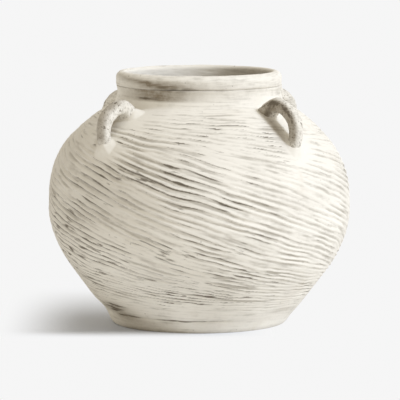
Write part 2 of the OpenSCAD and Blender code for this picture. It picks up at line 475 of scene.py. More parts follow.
def read_chart(field, turn, way):
    """A field's value at a turn round the pot and a way up its wall."""
    col = (turn / TAU % 1) * CHART_COLS
    row = np.clip((way - CHART_LOW) / CHART_ROW, 0, CHART_ROWS - 1.001)
    left = np.floor(col).astype(int)
    below = np.floor(row).astype(int)
    side, up = col - left, row - below
    left = left % CHART_COLS
    right = (left + 1) % CHART_COLS
    low = field[below, left] * (1 - side) + field[below, right] * side
    high = field[below + 1, left] * (1 - side) + field[below + 1, right] * side
    return low * (1 - up) + high * up


print(f"chart has {CHART_ROWS} rows and {CHART_COLS} columns")

# %% Strokes of the comb
STROKES = 1900
STROKE_WAYS = [0, 30, 60, 90, 120, 150, 190, 225, 250, 276]
STROKE_SLOPES = [2, 6, 13, 16, 17, 18, 17, 10, 4, 2]
STROKE_PITCH = [3.6, 4.0, 4.5, 5.2, 6.0, 6.5, 6.8, 6.4, 5.6, 5.0]
STROKE_LENGTH = [16, 17, 20, 24, 28, 30, 30, 28, 26, 24]
STROKE_WIDTH = [5, 5.5, 6, 7, 8.5, 9.5, 9.5, 9, 8, 7]
STROKE_REACH = 2.3

slope_drift = 2.0 * soft_noise(130) + 0.6 * soft_noise(50)
slope_drift *= climb(0, 60) * climb(240, 190)


def by_row(row, values):
    return np.interp(chart_ways[row], STROKE_WAYS, values)


def stroke_slope(row, col):
    return math.radians(by_row(row, STROKE_SLOPES) + slope_drift[row, col])


def stroke_cells(row, col, length, width, slope):
    """The chart's cells round a stroke, and how far along and across it each of them lies, in mm."""
    column_mm = chart_girth[row] * TAU / CHART_COLS
    half_cols = int(length / column_mm)
    half_rows = int((width + length * abs(math.sin(slope))) / CHART_ROW) + 1
    rows = np.arange(max(row - half_rows, 0), min(row + half_rows + 1, CHART_ROWS))
    offsets = np.arange(-half_cols, half_cols + 1)
    rightward = offsets[None] * column_mm
    upward = (rows - row)[:, None] * CHART_ROW
    along = rightward * math.cos(slope) - upward * math.sin(slope)
    across = rightward * math.sin(slope) + upward * math.cos(slope)
    return np.ix_(rows, (col + offsets) % CHART_COLS), along, across


stroke_cos, stroke_sin = blank(), blank()
stroke_power = blank() + 1e-3
for _ in range(STROKES):
    row = dice.integers(CHART_ROWS)
    col = dice.integers(CHART_COLS)
    pitch = by_row(row, STROKE_PITCH) * dice.uniform(0.88, 1.14)
    length = by_row(row, STROKE_LENGTH) * dice.uniform(0.7, 1.3)
    width = by_row(row, STROKE_WIDTH)
    reach = STROKE_REACH * length, STROKE_REACH * width
    cells, along, across = stroke_cells(row, col, *reach, stroke_slope(row, col))
    hold = np.exp(-0.5 * ((along / length) ** 2 + (across / width) ** 2))
    phase = across * TAU / pitch + dice.uniform(0, TAU)
    stroke_cos[cells] += hold * np.cos(phase)
    stroke_sin[cells] += hold * np.sin(phase)
    stroke_power[cells] += 0.5 * hold**2
print(f"{STROKES} strokes overlap {stroke_power.mean():.1f} deep")

# %% Ridges with a gentle upper and a steep lower side
WAVE_LONG, WAVE_SHORT = 0.55, 0.3
GENTLE = 0.78
GENTLE_CURVE, STEEP_CURVE = 2.2, 1.3

wavy_ways = chart_ways[:, None] + WAVE_LONG * soft_noise(44) + WAVE_SHORT * soft_noise(20)
cosine = read_chart(stroke_cos, chart_turns, wavy_ways)
sine = read_chart(stroke_sin, chart_turns, wavy_ways)
above_ridge = np.arctan2(sine, cosine) / TAU % 1
clearness = np.clip(0.8 * np.hypot(cosine, sine) / np.sqrt(stroke_power), 0, 1.5)
gentle_side = np.clip(1 - above_ridge / GENTLE, 0, 1) ** GENTLE_CURVE
steep_side = np.clip((above_ridge - GENTLE) / (1 - GENTLE), 0, 1) ** STEEP_CURVE
ridges = gentle_side + steep_side
ridges = 0.5 * ridges + 0.25 * (np.roll(ridges, 1, axis=0) + np.roll(ridges, -1, axis=0))
print(f"ridges have a mean height of {ridges.mean():.2f} and a clearness of {clearness.mean():.2f}")

# %% [markdown]
# The brush that laid the slip on left fine lines along the same way. Later the wash is laid down in
# marks of the same kind, so one function draws all of them: short, tapered, and kept by chance.

# %% Fine brush lines along the ridges
BRUSH_LINES = 11000
BRUSH_SIZES = (10, 26), (0.55, 0.95), (-1, 1)


def comb_marks(count, sizes, reach=2.2, chance=None, sway=None):
    """The cells of each mark and its strength there. A mark stays by chance and may sway.

    sizes holds the ranges of half its length and half its width in mm, and of its strength.
    """
    for _ in range(count):
        row = dice.integers(CHART_ROWS)
        col = dice.integers(CHART_COLS)
        half_length, half_width, strength = [dice.uniform(*span) for span in sizes]
        if chance is not None and dice.uniform(0, 1) > chance[row, col]:
            continue
        slope = stroke_slope(row, col) + (dice.normal(0, sway) if sway else 0)
        cells, along, across = stroke_cells(row, col, half_length, reach * half_width, slope)
        taper = np.clip(1 - (along / half_length) ** 2, 0, 1)
        yield cells, strength * taper * bell(across, 0, half_width)


def deepest(marks):
    """All the marks on one chart, with the strongest on top."""
    field = blank()
    for cells, mark in marks:
        field[cells] = np.maximum(field[cells], mark)
    return field


brush = blank()
for cells, mark in comb_marks(BRUSH_LINES, BRUSH_SIZES):
    brush[cells] += mark
print(f"{BRUSH_LINES} brush lines with a spread of {brush.std():.2f}")

# %% [markdown]
# ## Main grooves
#
# Some teeth of the comb went deeper than the rest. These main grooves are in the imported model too, so
# they are repeated here from the same rule: rows all round the body, a golden angle that takes every
# groove a little out of line, and a V that runs out where the wall curves away from the straight tooth.

# %% Main grooves of the comb
COMB_DEPTH = 1.4
COMB_SLOPE = 18.0
COMB_ROW = 28.0
COMB_STEP = 80.0
COMB_PLAIN = 18.0
COMB_STRAY = 0.25
TOOTH_R = 4.0
GOLDEN_ANGLE = math.radians(137.5)
V_SIDE = math.tan(math.radians(30))
HANDLE_AT = math.radians(51.0)
ROOT_SPREAD = math.radians(17.0)
PAD_R = 15.0
BELLY_WAY = OUTSIDE.way_at(BELLY_Z)
SHOULDER_WAY = OUTSIDE.way_at(SHOULDER_C[1])
PAD_WAYS = {
    "upper": SHOULDER_WAY + SHOULDER_R * (HANDLE_AT + ROOT_SPREAD),
    "lower": SHOULDER_WAY + SHOULDER_R * (HANDLE_AT - ROOT_SPREAD),
}
comb_reach = math.sqrt(2 * COMB_DEPTH * BODY_R)


def stray(k):
    return COMB_STRAY * math.sin(GOLDEN_ANGLE * k)


def from_handle(turn):
    """Angle from the nearest handle."""
    return (turn + QUARTER / 2) % QUARTER - QUARTER / 2


def wall_bend(way):
    """Curvature of the wall's own line."""
    if way < OUTSIDE.way_at(LEAN_OUT[1]):
        return 0.0
    if way < BELLY_WAY:
        return 1 / LOWER_R
    return 0.0 if way < SHOULDER_WAY else 1 / SHOULDER_R


def main_cut(way, turn):
    """The cells of one groove, and its depth there."""
    radius, height, out = OUTSIDE.at(way)[:3]
    fade_reach = BELLY_Z if height < BELLY_Z else FILLET_C[1] - BELLY_Z
    share = math.cos(QUARTER * abs(height - BELLY_Z) / fade_reach)
    slope = math.radians(COMB_SLOPE * share)
    curve = math.cos(slope) ** 2 * out / radius + math.sin(slope) ** 2 * wall_bend(way)
    row = int(round((way - CHART_LOW) / CHART_ROW))
    col = int(round(turn / TAU * CHART_COLS)) % CHART_COLS
    cells, along, across = stroke_cells(row, col, 1.5 * comb_reach, TOOTH_R, slope)
    return cells, COMB_DEPTH * share - 0.5 * curve * along**2 - V_SIDE * np.abs(across)


cuts = []
rows_down = math.floor((BELLY_WAY - COMB_PLAIN) / COMB_ROW)
rows_up = math.floor((WAY_NECK - BELLY_WAY - COMB_PLAIN) / COMB_ROW)
for tier in range(-rows_down, rows_up):
    tier_count = round(TAU * OUTSIDE.at(BELLY_WAY + COMB_ROW * (tier + 0.5))[0] / COMB_STEP)
    for k in range(tier_count):
        way = BELLY_WAY + COMB_ROW * (tier + 0.5 + stray(5 * k + 2 * tier))
        turn = TAU * (k + 1 + stray(3 * k + 5 * tier)) / tier_count
        beside_pad = OUTSIDE.at(way)[0] * abs(from_handle(turn)) > PAD_R + comb_reach
        if beside_pad or way < PAD_WAYS["lower"] - PAD_R - TOOTH_R:
            cuts.append(main_cut(way, turn))
main_grooves = deepest(cuts)
print(f"{len(cuts)} main grooves, up to {main_grooves.max():.2f} mm deep")

# %% [markdown]
# ## Relief of the wall
#
# The comb went deep at the belly and hardly touched the foot and the neck. Round the handles it was
# smeared over. The pot isn't quite round either: the potter's hands left the wall wavy, and pressed it
# in at the left shoulder and at the left of the foot. A roll of clay stands out where the neck begins.

# %% Relief of the outside wall in millimetres
RELIEF_WAYS = [-2, 4, 20, 60, 100, 130, 190, 225, 255, 272, 282]
RELIEF_DEPTH = [0, 0.05, 0.38, 0.98, 1.25, 1.40, 1.35, 0.72, 0.36, 0.20, 0.08]
DEEPER_LEFT = 1.1
HAND_WAVE = 0.6
BRUSH_DEPTH = 0.16
CREASE_DEPTH = 1.4
SMEAR_R = {"upper": 25.0, "lower": 19.0}
SMEAR_SHIFT = {"upper": -8.0, "lower": 0.0}
SMEAR_SIDE = {"upper": 9.0, "lower": 6.0}
NECK_FLARE = 0.9
NECK_ROLL = 1.8
FOOT_OUT = 0.5
FOOT_PRESS = 3.0
SHOULDER_PRESS = 3.2

depth = np.interp(chart_ways, RELIEF_WAYS, RELIEF_DEPTH)[:, None]
depth = depth * np.clip(1 + 0.28 * soft_noise(60), 0.4, 1.6)
depth = depth * (1 + DEEPER_LEFT * in_view(-84, 21) * band(236, 32))
beside_handle = from_handle(chart_turns)
smeared = blank()
for level, pad_way in PAD_WAYS.items():
    side_mm = chart_girth[:, None] * beside_handle - SMEAR_SIDE[level]
    pad_off = np.hypot(side_mm, (chart_ways - pad_way - SMEAR_SHIFT[level])[:, None])
    smeared = np.maximum(smeared, np.exp(-((pad_off / SMEAR_R[level]) ** 4)))
depth = depth * (1 - 0.85 * smeared)

hand = HAND_WAVE * soft_noise(110) * climb(-12, 12)
crease = CREASE_DEPTH * band(0.5, 2.0) * soft_step(soft_noise(50), -0.6, 0.9)
crease = crease + FOOT_PRESS * band(3, 13) * in_view(-88, 34)
pressed = SHOULDER_PRESS * band(SHOULDER_WAY + 86, 28) * (in_view(-90, 27) + 0.5 * in_view(90, 27))
brushed = BRUSH_DEPTH * brush * np.minimum(depth / 0.6, 1)
flare = NECK_FLARE * climb(WAY_TOP - 5, WAY_TOP) + NECK_ROLL * band(WAY_TOP - 16, 5) * (1 - smeared)
foot_out = FOOT_OUT * band(WAY_FOOT + 6.5, 4.5) * climb(WAY_FOOT, WAY_FOOT + 3)
relief = depth * clearness * (ridges - 0.5) + brushed + hand + flare + foot_out - crease
relief = relief - pressed - main_grooves
print(f"relief from {relief.min():.2f} to {relief.max():.2f} mm")

# %% [markdown]
# ## Where the dark wash stayed
#
# A thin dark wash was wiped over the slip. It stayed in the deepest grooves, in dashes and scratches,
# and more in some places than in others. The places that show most in the photograph are named by their
# turn from the camera in degrees, their height, how far they reach both ways, and their strength. The
# far side gets places of its own from the same seeded dice.

# %% Wash in the grooves
WASH_PLACES = [
    (-36, 172, 20, 15, 0.75),
    (-42, 140, 20, 13, 0.6),
    (-13, 174, 16, 10, 0.6),
    (-60, 108, 20, 24, 0.6),
    (-50, 72, 26, 24, 0.9),
    (-18, 100, 20, 16, 0.45),
    (26, 104, 22, 14, 0.45),
    (4, 148, 20, 12, 0.35),
    (20, 70, 24, 14, 0.5),
    (-4, 44, 34, 14, 0.4),
    (-12, 228, 30, 10, 0.25),
]
FAR_PLACES = 11
FAR_RANGES = [(75, 285), (40, 200), (14, 26), (10, 22), (0.3, 0.75)]
DASHES, DASH_DEPTH = 5200, 0.25
DASH_SIZES = (6, 20), (1.4, 2.4), (0.5, 1.0)
SCRATCHES, SCRATCH_DEPTH, SCRATCH_SWAY = 5200, 0.2, 0.03
SCRATCH_SIZES = (4, 13), (0.55, 0.85), (0.35, 1.0)

far_places = [tuple(dice.uniform(*span) for span in FAR_RANGES) for _ in range(FAR_PLACES)]
hold_wash = 0.30 + 0.13 * soft_noise(70) + 0.10 * soft_noise(26)
for turn, height, half_turn, half_height, strength in WASH_PLACES + far_places:
    at_height = bell(chart_heights, height, half_height)[:, None]
    hold_wash = hold_wash + strength * in_view(turn, half_turn) * at_height
hold_wash = np.clip(hold_wash, 0, 1.1) * climb(2, 14)

in_groove = soft_step(above_ridge, 0.68, 0.92) * soft_step(1 - above_ridge, 0.0, 0.07)
in_groove = in_groove * np.minimum(clearness, 1) * np.minimum(depth / 0.5, 1)
dashes = deepest(comb_marks(DASHES, DASH_SIZES, 2.0, 0.1 + hold_wash)) * in_groove
scratches = deepest(comb_marks(SCRATCHES, SCRATCH_SIZES, 2.2, hold_wash**1.5, SCRATCH_SWAY))
scratches = scratches * climb(WAY_NECK, WAY_NECK - 30)
relief = relief - DASH_DEPTH * dashes - SCRATCH_DEPTH * scratches
print(f"wash holds by {hold_wash.mean():.2f} on the mean")

# %% Wash, stain and painted shade elsewhere on the wall
LOOP_WAY = (PAD_WAYS["upper"] + PAD_WAYS["lower"]) / 2

far_side = soft_step(np.abs(from_camera), 1.4, 1.8)[None] * soft_step(soft_noise(70), 0.0, 1.2)
streaky = np.clip(0.85 + 0.25 * brush + 0.12 * soft_noise(14), 0.3, 1.4)
# Painted shadow: each handle's shadow on the wall beside it, and the shade in the front loop's hole.
painted_loop_shadow = bell(beside_handle, 0, 0.06)[None] * in_view(-45, 14)
painted_handle_shadow = bell(beside_handle, -0.08, 0.05)[None] * band(LOOP_WAY, 24)
painted_handle_shadow = painted_handle_shadow + 0.4 * painted_loop_shadow * band(LOOP_WAY, 14)
crease_line = band(0.3, 1.3) * np.clip(in_view(-8, 24) + 0.25 * in_view(30, 25) + far_side, 0, 1)
# Darker towards the bottom of the foot: painted contact shade, with some wash.
foot_low = climb(-10, -17)
foot_smear = band(11, 8) * (in_view(-56, 12) + 0.3 * far_side) + band(1.5, 4) * in_view(-48, 10)
foot_smear = foot_smear + 0.5 * band(9, 3) * in_view(55, 11)
neck_marks = band(WAY_TOP - 9.5, 2.2) * (0.9 * in_view(-38, 12) + 0.5 * in_view(-4, 10) + 0.6 * far_side)
# The top of the neck under the rim is darkened: partly wash, partly painted shade.
neck_crease_wash_and_shade = band(WAY_TOP, 3.5) * (in_view(-18, 24) + 0.5 * far_side)
on_neck = climb(WAY_TOP - 14, WAY_TOP - 10.5) * (in_view(-30, 26) + 0.35 * far_side)

# The wash number holds the dark wash, and also painted shade under the rim, at the foot and on handles.
wash = 0.85 * in_groove * (0.15 + hold_wash) + dashes * (0.35 + 0.65 * hold_wash)
wash = np.maximum(wash, scratches * (0.35 + 0.6 * hold_wash))
wash = wash + 0.2 * soft_step(main_grooves, 0.5, 1.2) * hold_wash
wash = wash + streaky * (0.9 * crease_line + 0.15 * foot_low + 0.9 * neck_marks + 0.45 * neck_crease_wash_and_shade)
wash = np.clip(wash + 1.2 * np.clip(0.3 + brush, 0, 1) * foot_smear, 0, 1)

# Stains, and painted shade: the handles' shadows on the wall and a darker left side of the body.
stain = 0.03 + 0.03 * soft_noise(60) + 0.20 * in_view(-68, 32) * band(180, 75) + 0.6 * painted_handle_shadow
stain = stain + 0.9 * (0.5 + 0.5 * streaky) * on_neck
# The last term darkens the left of the foot: partly stain, partly painted shade.
stain = stain + (0.6 + 0.5 * np.clip(brush, 0, 1)) * foot_smear + 0.4 * climb(2, -4) * in_view(-42, 22)
stain = np.clip(stain + 0.15 * foot_low * streaky + 0.2 * crease_line, 0, 1)

# Pale crests, grey hollows: partly wiped slip and wash, partly painted highlight and painted shade.
ridge_tone = (2.0 * ridges**0.55 - 1.0) * np.minimum(clearness, 1.2) * np.minimum(depth / 0.8, 1)
fine_tone = 0.85 * np.minimum(0.4 + depth, 1) * (1 - 0.7 * smeared)
ridge_tone = ridge_tone + fine_tone * brush + 0.4 * smeared
print(f"wash covers {100 * (wash > 0.4).mean():.1f} percent of the wall")

# %% [markdown]
# ## Slip, bare clay and rubber
#
# The slip is chalky and matt: pale on the ridges, greyer in the hollows, with warm stains, specks and
# fine brush lines. Part of the paleness on the ridges is painted highlight, and part of the grey in the
# hollows, the stains and the wash is painted shade. What follows the comb comes from numbers kept at
# the vertices. The finer grain comes from noise on Object coordinates, which stays the same on every
# piece of the pot.

# %% Finish of the slip
CREAM = (0.835, 0.805, 0.735)
HOLLOW = (0.54, 0.51, 0.45)
STAIN = (0.50, 0.435, 0.335)
DARK_UMBER = (0.135, 0.112, 0.082)
BROWN = (0.245, 0.202, 0.145)
BARE = (0.285, 0.225, 0.160)
BARE_PALE = (0.44, 0.37, 0.285)
CLAY_GLOSS = 0.25


def new_finish(name):
    """A new material's tree, and where each of its points is."""
    finish = Finish(bpy.data.materials.new(name))
    return finish, finish.place()


def slip_finish():
    finish, place = new_finish("combed_slip")
    level_lines = finish.node("ShaderNodeMapping", {"Vector": place, "Scale": (70, 70, 800)})
    patches = finish.cloud(place, 17, 4)
    mottle = finish.cloud(place, 105, 6, 0.62)
    lines = finish.cloud(level_lines, 1, 3)
    fine = finish.cloud(place, 320, 4, 0.6)
    grain = finish.cloud(place, 1100, 3, 0.6)

    lift = 0.5 + finish.read("ridge") * 0.45 + (mottle - 0.5) * 0.7
    lift = lift + (lines - 0.5) * 0.5 + (patches - 0.5) * 0.5
    colour = finish.blend(finish.step(lift, -0.12, 0.62), HOLLOW, CREAM)
    stained = finish.step(patches + (mottle - 0.5) * 0.5, 0.58, 0.86) * 0.32
    colour = finish.blend(stained, colour, STAIN)
    # Brown comes from the stain number: real stains together with the painted shade kept in it.
    colour = finish.blend(finish.read("stain") * (0.4 + lines * 0.6 + fine * 0.6), colour, BROWN)

    cell = {"Vector": place, "Scale": 150.0}
    near = finish.node("ShaderNodeTexVoronoi", cell, "Distance")
    pick = finish.node("ShaderNodeTexVoronoi", cell, "Color")
    speck = finish.step(near * -1, -0.16, -0.08) * finish.step(pick, 0.78, 0.82) * 0.45
    # The dark colour comes from the wash number: real wash together with the painted shade kept in it.
    held = finish.step(finish.read("wash") * (0.5 + mottle) + (grain - 0.5) * 0.15, 0.24, 0.70)
    colour = finish.blend(held * 0.92, colour, DARK_UMBER)
    colour = finish.blend(speck, colour, DARK_UMBER)

    clay = finish.blend(finish.step(mottle + (lines - 0.5) * 0.6, 0.3, 0.7), BARE, BARE_PALE)
    uncovered = finish.step(finish.read("bare") + (mottle - 0.5) * 0.6, 0.35, 0.65)
    colour = finish.blend(uncovered, colour, clay)
    height = grain * 0.35 + mottle * 0.65 - speck * 0.5
    return finish.surface(colour, 0.80 + (mottle - 0.5) * 0.25, (0.35, 0.0006, height), CLAY_GLOSS)


combed_slip = slip_finish()
print("made finish", combed_slip.name)

# %% Finishes of the bare clay and the rubber plug
RUBBER = (0.028, 0.028, 0.030)
RUBBER_DUST = (0.085, 0.082, 0.078)
RUBBER_GLOSS = 0.5


def clay_finish():
    finish, place = new_finish("bare_stoneware")
    mottle = finish.cloud(place, 130, 6, 0.65)
    grain = finish.cloud(place, 1300, 3, 0.6)
    colour = finish.blend(finish.step(mottle, 0.3, 0.7), BARE, BARE_PALE)
    grit = finish.step(finish.cloud(place, 700, 1), 0.66, 0.72) * 0.5
    colour = finish.blend(grit, colour, DARK_UMBER)
    bump = (0.5, 0.0006, grain + mottle)
    return finish.surface(colour, 0.85 + (mottle - 0.5) * 0.2, bump, CLAY_GLOSS)


def rubber_finish():
    finish, place = new_finish("moulded_rubber")
    dust = finish.cloud(place, 160, 5, 0.6)
    grain = finish.cloud(place, 2200, 2)
    colour = finish.blend(finish.step(dust, 0.42, 0.75), RUBBER, RUBBER_DUST)
    return finish.surface(colour, 0.55 + dust * 0.3, (0.25, 0.0002, grain), RUBBER_GLOSS)


bare_stoneware = clay_finish()
moulded_rubber = rubber_finish()
print("made finishes", bare_stoneware.name, "and", moulded_rubber.name)

# %% [markdown]
# ## Turning on the wheel
#
# A thrown piece is a profile that is spun once round the axis. Each profile vertex carries two numbers
# through the spin: its way along the wall, and which side of the wall it is on. After the spin they tell
# where the comb's relief goes. Pieces that meet share the same turns and the same relief, so the joint
# between them closes without a crack.

# %% Spin a profile and keep its numbers
TURNS = 528
SLICES = 24
MERGE = 2e-6
OUT, IN, PLAIN = 1.0, -1.0, 0.0


def spin(tool, geom, angle, steps, axis=(0, 0, 1), **more):
    still = {"cent": (0, 0, 0), "dvec": (0, 0, 0)}
    bmesh.ops.spin(tool, geom=geom, angle=angle, steps=steps, axis=axis, **still, **more)


def close_up(tool):
    bmesh.ops.remove_doubles(tool, verts=tool.verts[:], dist=MERGE)
    bmesh.ops.recalc_face_normals(tool, faces=tool.faces[:])
    return tool


def spin_profile(profile, turns=TURNS):
    """profile holds (radius, height, way, side) from point to point of a closed outline, in mm."""
    tool = bmesh.new()
    way_layer = tool.verts.layers.float.new("way")
    side_layer = tool.verts.layers.float.new("side")
    rail = []
    for radius, height, way, side in profile:
        vert = tool.verts.new((radius * MM, 0, height * MM))
        vert[way_layer] = way
        vert[side_layer] = side
        rail.append(vert)
    edges = [tool.edges.new(pair) for pair in zip(rail, rail[1:] + rail[:1])]
    slice_angle = TAU / SLICES
    spin(tool, rail + edges, slice_angle, turns // SLICES)
    first_slice = tool.verts[:] + tool.edges[:] + tool.faces[:]
    spin(tool, first_slice, TAU - slice_angle, SLICES - 1, use_duplicate=True)
    return close_up(tool)


def stretch(line, side, first, last, spacing):
    """Profile points on a wall line, from one way to another."""
    ways = np.linspace(first, last, max(int(round(abs(last - first) / spacing)), 1) + 1)
    radii, heights = line.at(ways)[:2]
    return [(r, z, way, side) for r, z, way in zip(radii, heights, ways)]


def plain(radii, height):
    """Profile points off the wall lines, at one height."""
    return [(radius, height, 0, PLAIN) for radius in radii]


def make_piece(tool, name, material, sharp=60):
    mesh = bpy.data.meshes.new(name)
    tool.to_mesh(mesh)
    tool.free()
    mesh.polygons.foreach_set("use_smooth", np.ones(len(mesh.polygons), bool))
    mesh.set_sharp_from_angle(angle=math.radians(sharp))
    mesh.materials.append(material)
    return put(name, mesh)


def settle(piece, node, body="pot"):
    """The piece stands for its CAD node and moves with that node's body."""
    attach(piece, body)
    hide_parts(node)
    triangles = sum(len(face.vertices) - 2 for face in piece.data.polygons)
    print(f"{piece.name} stands for {node}: {triangles} triangles")


# %% Numbers and places of a mesh's vertices
def numbers(mesh, name):
    values = np.zeros(len(mesh.vertices), np.float32)
    mesh.attributes[name].data.foreach_get("value", values)
    return values.astype(float)


def keep(mesh, **numbers_by_name):
    for name, values in numbers_by_name.items():
        layer = mesh.attributes.get(name) or mesh.attributes.new(name, "FLOAT", "POINT")
        layer.data.foreach_set("value", np.asarray(values, np.float32))


def places(mesh):
    flat = np.zeros(len(mesh.vertices) * 3, np.float32)
    mesh.vertices.foreach_get("co", flat)
    return flat.reshape(-1, 3).astype(float) / MM


def move_to(mesh, points):
    mesh.vertices.foreach_set("co", (points * MM).astype(np.float32).ravel())
    mesh.update()


def turn_of(points):
    return np.arctan2(points[:, 1], points[:, 0])


def columns(*values):
    return np.stack(np.broadcast_arrays(*values), axis=-1)


def noise_at(points):
    return np.array([noise.noise(Vector(point)) for point in points.tolist()])


def on_line(line, turn, way, lift):
    """Points on a wall line, lifted off it by so many millimetres."""
    radius, height, out, up = line.at(way)
    flat = radius + out * lift
    return columns(flat * np.cos(turn), flat * np.sin(turn), height + up * lift)


def outer_point(turn, way):
    return on_line(OUTSIDE, turn, way, read_chart(relief, turn, way))


# %% [markdown]
# The inside shows the potter's fingers: one groove that climbs in a spiral. It is bare clay, with slip
# only near the mouth. Where two pieces meet on the outside, their shading has to agree as well, so the
# normals of the joint's rows are worked out from the wall itself, not from the faces of one piece.

# %% Comb the outside and groove the inside of a turned piece
FINGER_PITCH = 9.5
FINGER_DEPTH = 0.45
NORMAL_REACH = 0.9
# One side of the mouth's inside is darkened: painted shade, with some stain.
MOUTH_SHADE_AND_STAIN = 0.6
MOUTH_SHADE_TURN = FRONT + math.radians(120)


def mouth_shade(turn):
    """The side of the mouth's inside that is darkened most: painted shade, with some stain."""
    return soft_step(np.cos(turn - MOUTH_SHADE_TURN), 0.5, 1.0)


def inner_lift(turn, way):
    swirl = np.sin(TAU * way / FINGER_PITCH - turn + 0.6 * np.sin(3 * turn))
    return FINGER_DEPTH * swirl * soft_step(WAY_TOP_IN - way, 0, 8)


def wall_normals(turn, way):
    nudge = NORMAL_REACH / MEAN_GIRTH
    round_pot = outer_point(turn + nudge, way) - outer_point(turn - nudge, way)
    up_wall = outer_point(turn, way + NORMAL_REACH) - outer_point(turn, way - NORMAL_REACH)
    facing = np.cross(round_pot, up_wall)
    return facing / np.linalg.norm(facing, axis=1)[:, None]


def shape_wall(piece, joint_ways):
    mesh = piece.data
    points = places(mesh)
    way, side = numbers(mesh, "way"), numbers(mesh, "side")
    turn = turn_of(points)
    outer, inner = side > 0.5, side < -0.5
    points[outer] = outer_point(turn[outer], way[outer])
    points[inner] = on_line(INSIDE, turn[inner], way[inner], inner_lift(turn[inner], way[inner]))
    move_to(mesh, points)
    keep(
        mesh,
        ridge=np.where(outer, read_chart(ridge_tone, turn, way), 0),
        wash=np.where(outer, read_chart(wash, turn, way), 0),
        stain=np.where(outer, read_chart(stain, turn, way), MOUTH_SHADE_AND_STAIN * mouth_shade(turn)),
        bare=np.where(inner, soft_step(WAY_TOP_IN - way, 4, 44), 0),
    )
    normals = np.zeros_like(points)
    for joint in joint_ways:
        row = outer & (np.abs(way - joint) < 1e-3)
        normals[row] = wall_normals(turn[row], way[row])
    mesh.normals_split_custom_set_from_vertices(normals)


# %% [markdown]
# ## The two bowls and the neck
#
# The bowls are joined at the belly on a slant that is higher inside than outside. The outside has rows
# less than a millimetre apart, because the comb's grooves are real shape. The inside needs far fewer.
# The neck goes on from the upper bowl. It is smoother than the body, with fine level brush lines.

# %% Lower bowl, upper bowl and neck collar
LOWER_ROW, UPPER_ROW = 0.76, 0.88
SMOOTH_ROW, NECK_ROW = 10.0, 2.0


def throw_wall(name, node, outside, inside, spacing, joints):
    """A stretch of the wall, up its outside and down its inside between the ways given."""
    profile = stretch(OUTSIDE, OUT, *outside, spacing[0]) + stretch(INSIDE, IN, *inside, spacing[1])
    piece = make_piece(spin_profile(profile), name, combed_slip)
    shape_wall(piece, joints)
    settle(piece, node)


lower = (0, WAY_SEAM), (WAY_SEAM_IN, 0), (LOWER_ROW, SMOOTH_ROW)
throw_wall("combed_lower_bowl", "lower_bowl", *lower, (0, WAY_SEAM))
upper = (WAY_SEAM, WAY_NECK), (WAY_NECK_IN, WAY_SEAM_IN), (UPPER_ROW, SMOOTH_ROW)
throw_wall("combed_upper_bowl", "upper_bowl", *upper, (WAY_SEAM, WAY_NECK))
neck = (WAY_NECK, WAY_TOP), (WAY_TOP_IN, WAY_NECK_IN), (UPPER_ROW, NECK_ROW)
throw_wall("smoothed_neck", "neck_collar", *neck, (WAY_NECK,))

# %% [markdown]
# ## Rim
#
# The rim is a thick roll that sits on the neck with a crease under it, darkened by wash and by painted
# shade. A hand-made rim is never quite round, so it wanders by a fraction of a millimetre.

# %% Shape of the rim roll
RIM_ROUND = 7.0
RIM_CREASE = 3.0
RIM_SEAT_IN = 4.0
RIM_WANDER, RIM_DENTS, RIM_LINES = 0.45, 0.22, 0.16
RIM_IN = 1.0
RIM_ROW = 0.8
inner_round = RIM_R - MOUTH_R - RIM_ROUND
crest_r = RIM_R - RIM_ROUND
RIM_LINE = WallLine(
    [
        straight([MOUTH_R + RIM_SEAT_IN, NECK_TOP - 0.01], [RIM_R - RIM_CREASE, NECK_TOP]),
        bend([RIM_R - RIM_CREASE, NECK_TOP + RIM_CREASE], RIM_CREASE, -QUARTER, 0),
        straight([RIM_R, NECK_TOP + RIM_CREASE], [RIM_R, RIM_TOP - RIM_ROUND]),
        bend([crest_r, RIM_TOP - RIM_ROUND], RIM_ROUND, 0, QUARTER),
        bend([crest_r, RIM_TOP - inner_round], inner_round, QUARTER, math.pi),
        straight([MOUTH_R, RIM_TOP - inner_round], [MOUTH_R, NECK_TOP]),
    ]
)
RIM_SEAT = RIM_R - RIM_CREASE - MOUTH_R - RIM_SEAT_IN
RIM_FACE = RIM_SEAT + RIM_CREASE * QUARTER
RIM_EDGE = RIM_FACE + RIM_TOP - RIM_ROUND - NECK_TOP - RIM_CREASE
RIM_CREST = RIM_EDGE + RIM_ROUND * QUARTER
RIM_END = RIM_LINE.ways[-1]

rim_tool = spin_profile(stretch(RIM_LINE, OUT, 0, RIM_END, RIM_ROW))
rim_roll = make_piece(rim_tool, "rolled_rim", combed_slip)
rim_mesh = rim_roll.data
rim_way = numbers(rim_mesh, "way")
rim_turn = turn_of(places(rim_mesh))
rim_spots = columns(np.cos(rim_turn), np.sin(rim_turn), rim_way / 60)
wander = noise_at(rim_spots * 2.2)
dents = noise_at(rim_spots * (11, 11, 24))
lines = noise_at(rim_spots * (5, 5, 75) + (0, 0, 9))
rim_lift = RIM_WANDER * wander + RIM_DENTS * dents + RIM_LINES * lines
rim_lift = rim_lift - RIM_IN * soft_step(RIM_CREST - rim_way, -3, 6)
rim_lift = rim_lift * soft_step(rim_way, RIM_SEAT, RIM_FACE + 1) * soft_step(RIM_END - rim_way, 0, 4)
move_to(rim_mesh, on_line(RIM_LINE, rim_turn, rim_way, rim_lift))
print(f"rim is lifted from {rim_lift.min():.2f} to {rim_lift.max():.2f} mm")

# %% Wash, stain and painted shade of the rim roll
rim_view = np.degrees(wrap(rim_turn - FRONT))
rim_far = soft_step(np.abs(rim_view), 80, 100) * soft_step(wander, -0.1, 0.4)
rim_streaks = np.clip(0.9 + 0.5 * lines + 0.25 * dents, 0, 1.3)
